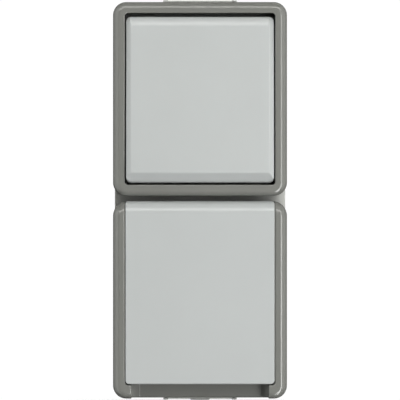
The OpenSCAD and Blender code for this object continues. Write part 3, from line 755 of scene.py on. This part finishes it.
# ---------------------------------------------------------------- wall box
def make_base():
    bw, bh = 32.5, 74.45
    o = block("base_box_shell", -bw, bw, -bh, bh, 4.6, 4.6, 0, 26, 0.35, 0.35, 0.35, back=0.5, k=4)
    for c0, c1 in (SW_CELL, SO_CELL):
        boolean(o, block("u", -CELL - 1.1, CELL + 1.1, c0 - 1.1, c1 + 1.1, 2.6, 2.6, 25, 28.4, 0.3, 0.3, 0.3, k=3), "UNION")
    # cable bosses with a rib at each end
    for sgn, low, rib in ((1, 76.15, 76.35), (-1, 75.8, 76.1)):
        a, b = sorted((sgn * (bh - 1), sgn * low))
        boolean(o, brick("u", -13.6, 13.6, 1.5, 24.5, a, b, 0.25), "UNION")
        a, b = sorted((sgn * (bh - 1), sgn * rib))
        for s in (-1, 1):
            boolean(o, brick("u", s * 13.07 - 0.97, s * 13.07 + 0.97, 1.5, 24.5, a, b, 0.25), "UNION")
    for c0, c1 in (SW_CELL, SO_CELL):
        boolean(o, pocket("c", -CELL, CELL, c0, c1, 2.2, 2.2, 2.4, 29, 0, 0.6))
    boolean(o, brick("c", -CELL + 0.3, CELL - 0.3, 2.4, 23.8, SO_CELL[1] + 2, SW_CELL[0] - 2))
    boolean(o, brick("c", -8, 8, 6, 19, SO_CELL[1] - 1, SW_CELL[0] + 1))
    for a, b in ((bh - 4, 77), (-77, -bh + 4)):
        boolean(o, lathe("c", [(0, a), (8.2, a), (8.2, b), (0, b)], "z", (0, 13, 0), 64))
    for x in (-21.5, 21.5):
        for z in (-52, 52):
            boolean(o, lathe("c", [(0, -1), (2.75, -1), (2.75, 0.001), (2.4, 0.35), (2.4, 4), (0, 4)], "y", (x, 0, z), 40))
    # two knock-outs in the back, each with a thin ring groove
    for z in (SZ, SO_Z):
        boolean(o, lathe("c", [(0, -1), (9, -1), (9, 0.55), (8.6, 0.8), (0, 0.8)], "y", (0, 0, z), 72))
    # shallow relief between the edge and the screw pads, so that the box stands on its rim
    relief = back_pocket("c", -28.6, 28.6, -70.9, 70.9, 3, 3, -1, 0.45, 8)
    keep = []
    for x in (-21.5, 21.5):
        for z in (-52, 52):
            keep.append(lathe("k", [(0, -2), (5.6, -2), (5.6, 1), (0, 1)], "y", (x, 0, z), 48))
    for z in (SZ, SO_Z):
        keep.append(lathe("k", [(0, -2), (10.4, -2), (10.4, 1), (0, 1)], "y", (0, 0, z), 72))
    keep.append(brick("k", -29, 29, -2, 1, -1.3, 1.3))
    for x in (-14.5, 14.5):
        keep.append(brick("k", x - 0.6, x + 0.6, -2, 1, -71.5, 71.5))
    boolean(relief, keep)
    boolean(o, relief)
    for x, z, d in ((-25.6, SZ, 31.8), (25.6, SZ, 31.8), (20, SZ - 27.5, 30), (-20, SZ + 27.5, 30),
                    (-26, SO_Z, 27.35), (26, SO_Z, 27.35), (-23.6, -16.5, 36), (23.6, -62.5, 36)):
        boolean(o, lathe("p", rounded([(0, 2.2, 0), (3.2, 2.2, 0), (3.2, d, 0.3), (0, d, 0)], 2), "y", (x, 0, z), 32), "UNION")
        boolean(o, lathe("p", [(0, d - 11), (1.5, d - 11), (1.5, d + 1), (0, d + 1)], "y", (x, 0, z), 24))
    return piece(tidy(o), "base_box_shell", MAT["base_plastic"])


# ---------------------------------------------------------------- seals and grommets
def make_gasket(name, cell):
    c0, c1 = cell
    def r(g, d, rr):
        return ring(-CELL - 1.1 - g, CELL + 1.1 + g, c0 - 1.1 - g, c1 + 1.1 + g, rr, rr, d, 8)
    outer = [r(0.05, 26.02, 2.6), r(0.7, 26.02, 3.25), r(0.9, 26.12, 3.45), r(0.97, 26.4, 3.5), r(0.9, 26.68, 3.45), r(0.7, 26.78, 3.25), r(0.05, 26.78, 2.6)]
    o = solid(name, outer, closed=True)
    return piece(o, name + "_ring", MAT["black_rubber"], nodes=[name])


def make_grommets():
    p = rounded([(5.25, 70.2, 0), (9.6, 70.2, 0.3), (9.6, 71.15, 0.3), (8.15, 71.25, 0.15), (8.15, 75.95, 0.5), (6.9, 75.95, 0.2), (6.5, 75.05, 0.2), (5.7, 75.05, 0.2), (5.25, 75.65, 0.2)], 3)
    o = lathe("g", p, "z", (0, 13, 0), 72)
    piece(o, "top_cable_seal", MAT["grey_rubber"], nodes=["top_cable_grommet"])
    p = rounded([(0, -74.3, 0), (6.4, -74.3, 0.3), (6.4, -70.2, 0), (9.6, -70.2, 0.3), (9.6, -72.1, 0.2), (8.15, -72.15, 0.1), (8.15, -75.7, 0.4),
                 (4.6, -75.7, 0.2), (4.3, -75.4, 0.2), (3.8, -75.5, 0.1), (3.7, -76.3, 0.35), (0, -76.3, 0)], 3)
    o = lathe("g", p, "z", (0, 13, 0), 72)
    piece(o, "bottom_cable_seal", MAT["grey_rubber"], nodes=["bottom_cable_grommet"])


# ---------------------------------------------------------------- plug recess
def make_recess():
    f0 = 31.2
    p = rounded([(19.6, 28.7, 0), (21.8, 28.7, 0.3), (21.8, 47.55, 0), (24.5, 47.55, 0.15), (24.5, 48.7, 0.45), (19.6, 48.7, 0.9)], 5)
    o = lathe("f", p, "y", (0, 0, SO_Z), 128)
    cut = []
    for s in (-1, 1):
        cut.append(brick("c", -3.5, 3.5, 33, 47, SO_Z + s * 20.4 - 2.2, SO_Z + s * 20.4 + 2.2))
        cut.append(brick("c", s * 19.9 - 0.9, s * 19.9 + 0.9, 35, 50, SO_Z - 3, SO_Z + 3))
    boolean(o, cut)
    piece(tidy(o), "socket_face_shell", MAT["cover_plastic"])
    p = rounded([(0, 28.7, 0), (19.55, 28.7, 0), (19.55, 31.2, 0.25), (0, 31.2, 0)], 3)
    o = lathe("f", p, "y", (0, 0, SO_Z), 128)
    for s in (-1, 1):
        boolean(o, lathe("c", [(0, 25), (2.6, 25), (2.6, 30.8), (3.0, 31.2), (3.0, 35), (0, 35)], "y", (s * 9.5, 0, SO_Z), 48))
    boolean(o, lathe("c", [(0, 25), (1.8, 25), (1.8, 35), (0, 35)], "y", (0, 0, SO_Z), 32))
    piece(tidy(o), "socket_floor_shell", MAT["cover_plastic"])


def make_lid_gasket():
    p = rounded([(21.4, 50.6, 0.1), (21.4, 49.3, 0.2), (22.1, 49.0, 0.2), (22.4, 48.75, 0.2), (23.0, 48.75, 0.2), (23.3, 49.0, 0.2), (24.0, 49.3, 0.2), (24.0, 50.6, 0.1)], 3)
    o = lathe("g", p, "y", (0, 0, SO_Z), 128)
    piece(o, "lid_gasket_ring", MAT["black_rubber"], "lid", ["lid_gasket"])


# ---------------------------------------------------------------- fasteners
def screw_head(x, z, seat, tip, rh, hh, rs, thread=True):
    prof = [(0, tip), (rs * 0.55, tip), (rs, tip + 0.7)]
    if thread:
        pitch, h = 0.7, 0.14
        y = tip + 0.9
        while y < seat - 2.2:
            prof += [(rs, y), (rs - h, y + pitch * 0.3), (rs - h, y + pitch * 0.5), (rs, y + pitch * 0.8)]
            y += pitch
    prof += [(rs, seat), (rh, seat), (rh, seat + hh * 0.35)]
    for i in range(1, 7):
        c, s = cs(90 * i / 6)
        prof.append((rh * (0.55 + 0.45 * c) if i < 6 else rh * 0.55, seat + hh * (0.35 + 0.65 * s)))
    prof.append((0, seat + hh))
    o = lathe("s", prof, "y", (x, 0, z), 36)
    top = seat + hh
    cross = []
    for deg in (0, 90):
        b = brick("x", -rh * 0.58, rh * 0.58, top - hh * 0.62, top + 1, -0.38, 0.38)
        b.data.transform(Matrix.Rotation(math.radians(deg), 4, "Y"))
        b.data.transform(Matrix.Translation(Vector(to_m((x, 0, z)))))
        cross.append(b)
    boolean(o, cross)
    return tidy(o)


def make_screws():
    def group(name, spots, seat, tip, rh, hh, rs):
        objs = [screw_head(x, z, seat, tip, rh, hh, rs) for x, z in spots]
        o = join(name, objs)
        piece(o, name + "_set", MAT["zinc_steel"], nodes=[name], angle=32)
    group("switch_cover_screws", [(-20, SZ + 27.5), (20, SZ - 27.5)], 38.02, 21, 2.8, 1.9, 1.4)
    group("socket_cover_screws", [(-23.6, -16.5), (23.6, -62.5)], 47.52, 27, 2.8, 1.7, 1.4)
    group("switch_frame_screws", [(-25.6, SZ), (25.6, SZ)], 33.07, 23, 2.8, 1.9, 1.4)
    group("socket_frame_screws", [(-26, SO_Z), (26, SO_Z)], 28.62, 18.5, 2.8, 1.9, 1.4)
    group("centre_screw", [(0, SO_Z)], 31.22, 19, 3.1, 2.0, 1.4)


def make_pin_and_spring():
    o = lathe("p", rounded([(0, -26.2, 0), (1.25, -26.2, 0.35), (1.25, 26.2, 0.35), (0, 26.2, 0)], 3), "x", (0, HD, HZ), 40)
    piece(o, "hinge_pin_rod", MAT["zinc_steel"], nodes=["hinge_pin"])


def tube(name, pts, r, seg=10):
    """Round wire along points (x, depth, z) in mm, with closed ends."""
    vs = [Vector(to_m(p)) for p in pts]
    up = None
    rings = []
    for i, p in enumerate(vs):
        t = (vs[min(i + 1, len(vs) - 1)] - vs[max(i - 1, 0)]).normalized()
        if up is None:
            up = t.orthogonal().normalized()
        up = (up - t * up.dot(t)).normalized()
        side = t.cross(up)
        rings.append([p + (up * math.cos(TAU * j / seg) + side * math.sin(TAU * j / seg)) * r * MM for j in range(seg)])
    bm = bmesh.new()
    rows = [[bm.verts.new(q) for q in r_] for r_ in rings]
    for a in range(len(rows) - 1):
        for j in range(seg):
            k = (j + 1) % seg
            bm.faces.new((rows[a][j], rows[a][k], rows[a + 1][k], rows[a + 1][j]))
    bm.faces.new(list(reversed(rows[0])))
    bm.faces.new(rows[-1])
    return new_object(name, bm, 1e-7)


def make_springs():
    pts = []
    turns, seg, pitch = 13, 28, 0.8
    for i in range(turns * seg + 1):
        t = TAU * i / seg
        pts.append((-5.2 + pitch * i / seg, HD + 1.66 * math.sin(t), HZ + 1.66 * math.cos(t)))
    piece(tube("lid_spring_coil", pts, 0.3), "lid_spring_coil", MAT["spring_steel"], nodes=["lid_spring"], angle=60)
    pts = []
    turns, pitch = 6, 1.55
    for i in range(turns * seg + 1):
        t = TAU * i / seg
        pts.append((1.55 * math.cos(t), 36.35 + pitch * i / seg, SZ + 1.55 * math.sin(t)))
    o = tube("toggle_spring_coil", pts, 0.28)
    turn_about_x(o, PIV, SZ, TILT)
    piece(o, "toggle_spring_coil", MAT["spring_steel"], "rocker", ["toggle_spring"], angle=60)


def make_earth_clips():
    objs = []
    for s in (-1, 1):
        line = [(28.62, 21.9), (28.62, 26), (29.4, 26), (29.4, 23.1), (44.6, 23.1), (44.9, 22.4), (40.4, 17), (35, 19.4),
                (35.2, 20.1), (40, 18), (43.7, 22.3), (29.4, 22.3), (29.4, 21.9)]
        radii = [0, 0.2, 0.2, 0.1, 0.35, 0.3, 0.9, 0.1, 0.1, 0.6, 0.2, 0.1, 0.1]
        out = rounded([(d, SO_Z + s * z, r) for (d, z), r in zip(line, radii)], 4)
        objs.append(slab("clip", out, -2.8, 2.8, "x", 0.12))
    o = join("earth_contacts_pair", objs)
    piece(o, "earth_contacts_pair", MAT["spring_steel"], nodes=["earth_contacts"], angle=32)


make_switch_cover()
make_rocker()
make_socket_cover()
make_lid()
make_base()
make_gasket("switch_cover_gasket", SW_CELL)
make_gasket("socket_cover_gasket", SO_CELL)
make_grommets()
make_recess()
make_lid_gasket()
make_screws()
make_pin_and_spring()
make_springs()
make_earth_clips()

# ---------------------------------------------------------------- the CAD nodes that stay
slots = {s["node"]: s.get("material_slot") for s in frame["record"]["subparts"]}
for name, obj in frame["nodes"].items():
    mat = MAT.get(slots.get(name), MAT["cover_plastic"])
    obj.data.materials.clear()
    obj.data.materials.append(mat)

# ---------------------------------------------------------------- studio
FLOOR_Z = -0.0766


def look_at(obj, target):
    obj.rotation_euler = (Vector(target) - obj.location).to_track_quat("-Z", "Y").to_euler()


def area(name, az, el, dist, sx, sz, watts, colour=(1, 1, 1), target=(0, -0.03, 0)):
    data = bpy.data.lights.new(name, "AREA")
    data.shape, data.size, data.size_y = "RECTANGLE", sx, sz
    data.energy, data.color = watts, colour
    o = bpy.data.objects.new(name, data)
    a, e = math.radians(az), math.radians(el)
    o.location = Vector(target) + Vector((math.sin(a) * math.cos(e), -math.cos(a) * math.cos(e), math.sin(e))) * dist
    o.visible_camera = False
    scene.collection.objects.link(o)
    look_at(o, target)
    return o


area("strip_right", 23, 2, 1.3, 0.42, 2.1, 12.4).visible_glossy = False
area("strip_low", 24, -40, 1.3, 0.42, 0.6, 2.6)
area("soft_top", 4, 32, 1.4, 1.7, 0.36, 6.2, (1, 0.985, 0.955))
area("side_left", -50, 5, 1.4, 0.45, 1.8, 1.3)
area("side_right", 75, 8, 1.4, 1.4, 1.8, 6.0)
for args in (("high", 0, 58, 1.5, 1.6, 0.6, 3.2, (1, 0.985, 0.955)), ("fill_left", -102, 8, 1.5, 1.4, 1.8, 3.5), ("back_left", -145, 35, 1.8, 2.2, 2.2, 28), ("back_right", 145, 30, 1.8, 2.2, 2.2, 23)):
    area(*args).visible_glossy = False
# reflectors, seen only in the gloss
for args in (("gleam_right", 21, -18, 1.32, 0.26, 1.05, 5.5), ("gleam_strip", 23, -18, 1.3, 0.42, 1.05, 6.2), ("gleam_top", 4, 30, 1.42, 1.8, 0.26, 6.6, (1, 0.985, 0.955)),
             ("gleam_left", -50, 3, 1.42, 0.7, 2.2, 6), ("gleam_far_left", -88, 3, 1.4, 1.2, 2.2, 10)):
    area(*args).visible_diffuse = False

world = bpy.data.worlds.new("world")
scene.world = world
world.use_nodes = True
wt = world.node_tree
wt.nodes.clear()
w_out = wt.nodes.new("ShaderNodeOutputWorld")
w_mix = wt.nodes.new("ShaderNodeMixShader")
w_light = wt.nodes.new("ShaderNodeBackground")
w_seen = wt.nodes.new("ShaderNodeBackground")
w_path = wt.nodes.new("ShaderNodeLightPath")
w_light.inputs["Color"].default_value = (1, 1, 1, 1)
w_light.inputs["Strength"].default_value = 0.05
w_seen.inputs["Color"].default_value = (1, 1, 1, 1)
w_seen.inputs["Strength"].default_value = 1.02
wt.links.new(w_path.outputs["Is Camera Ray"], w_mix.inputs[0])
wt.links.new(w_light.outputs[0], w_mix.inputs[1])
wt.links.new(w_seen.outputs[0], w_mix.inputs[2])
wt.links.new(w_mix.outputs[0], w_out.inputs["Surface"])

bm = bmesh.new()
bmesh.ops.create_grid(bm, x_segments=8, y_segments=8, size=3.0)
floor = new_object("floor", bm)
floor.location.z = FLOOR_Z
fm = Nodes("floor_paint")
# pale paint that takes the contact shadow close by and runs out into the bright backdrop
near = fm.add("ShaderNodeVectorMath", operation="LENGTH")
flatten = fm.add("ShaderNodeMapping")
flatten.inputs["Location"].default_value = (0, 0.028 * 9, 0)
flatten.inputs["Scale"].default_value = (9, 9, 0)
fm.link(fm.coord, flatten.inputs["Vector"])
fm.link(flatten.outputs["Vector"], near.inputs[0])
far = fm.add("ShaderNodeMapRange", interpolation_type="SMOOTHSTEP")
far.inputs["From Min"].default_value = 0.34
far.inputs["From Max"].default_value = 1.0
fm.link(near.outputs["Value"], far.inputs["Value"])
paint = fm.mix(far.outputs["Result"], (0.5, 0.5, 0.5, 1), (0, 0, 0, 1))
glow = fm.maths("ADD", fm.maths("MULTIPLY", far.outputs["Result"], 0.47), 0.55)
fm.out(Base_Color=paint, Roughness=1.0, Specular_IOR_Level=0.0, Emission_Color=(1, 1, 1, 1), Emission_Strength=glow)
floor.data.materials.append(fm.mat)
floor.visible_glossy = False
floor.visible_diffuse = False
floor.visible_shadow = False

scene.view_settings.view_transform = "Standard"
scene.view_settings.look = "None"
scene.view_settings.exposure = 0
scene.view_settings.gamma = 1
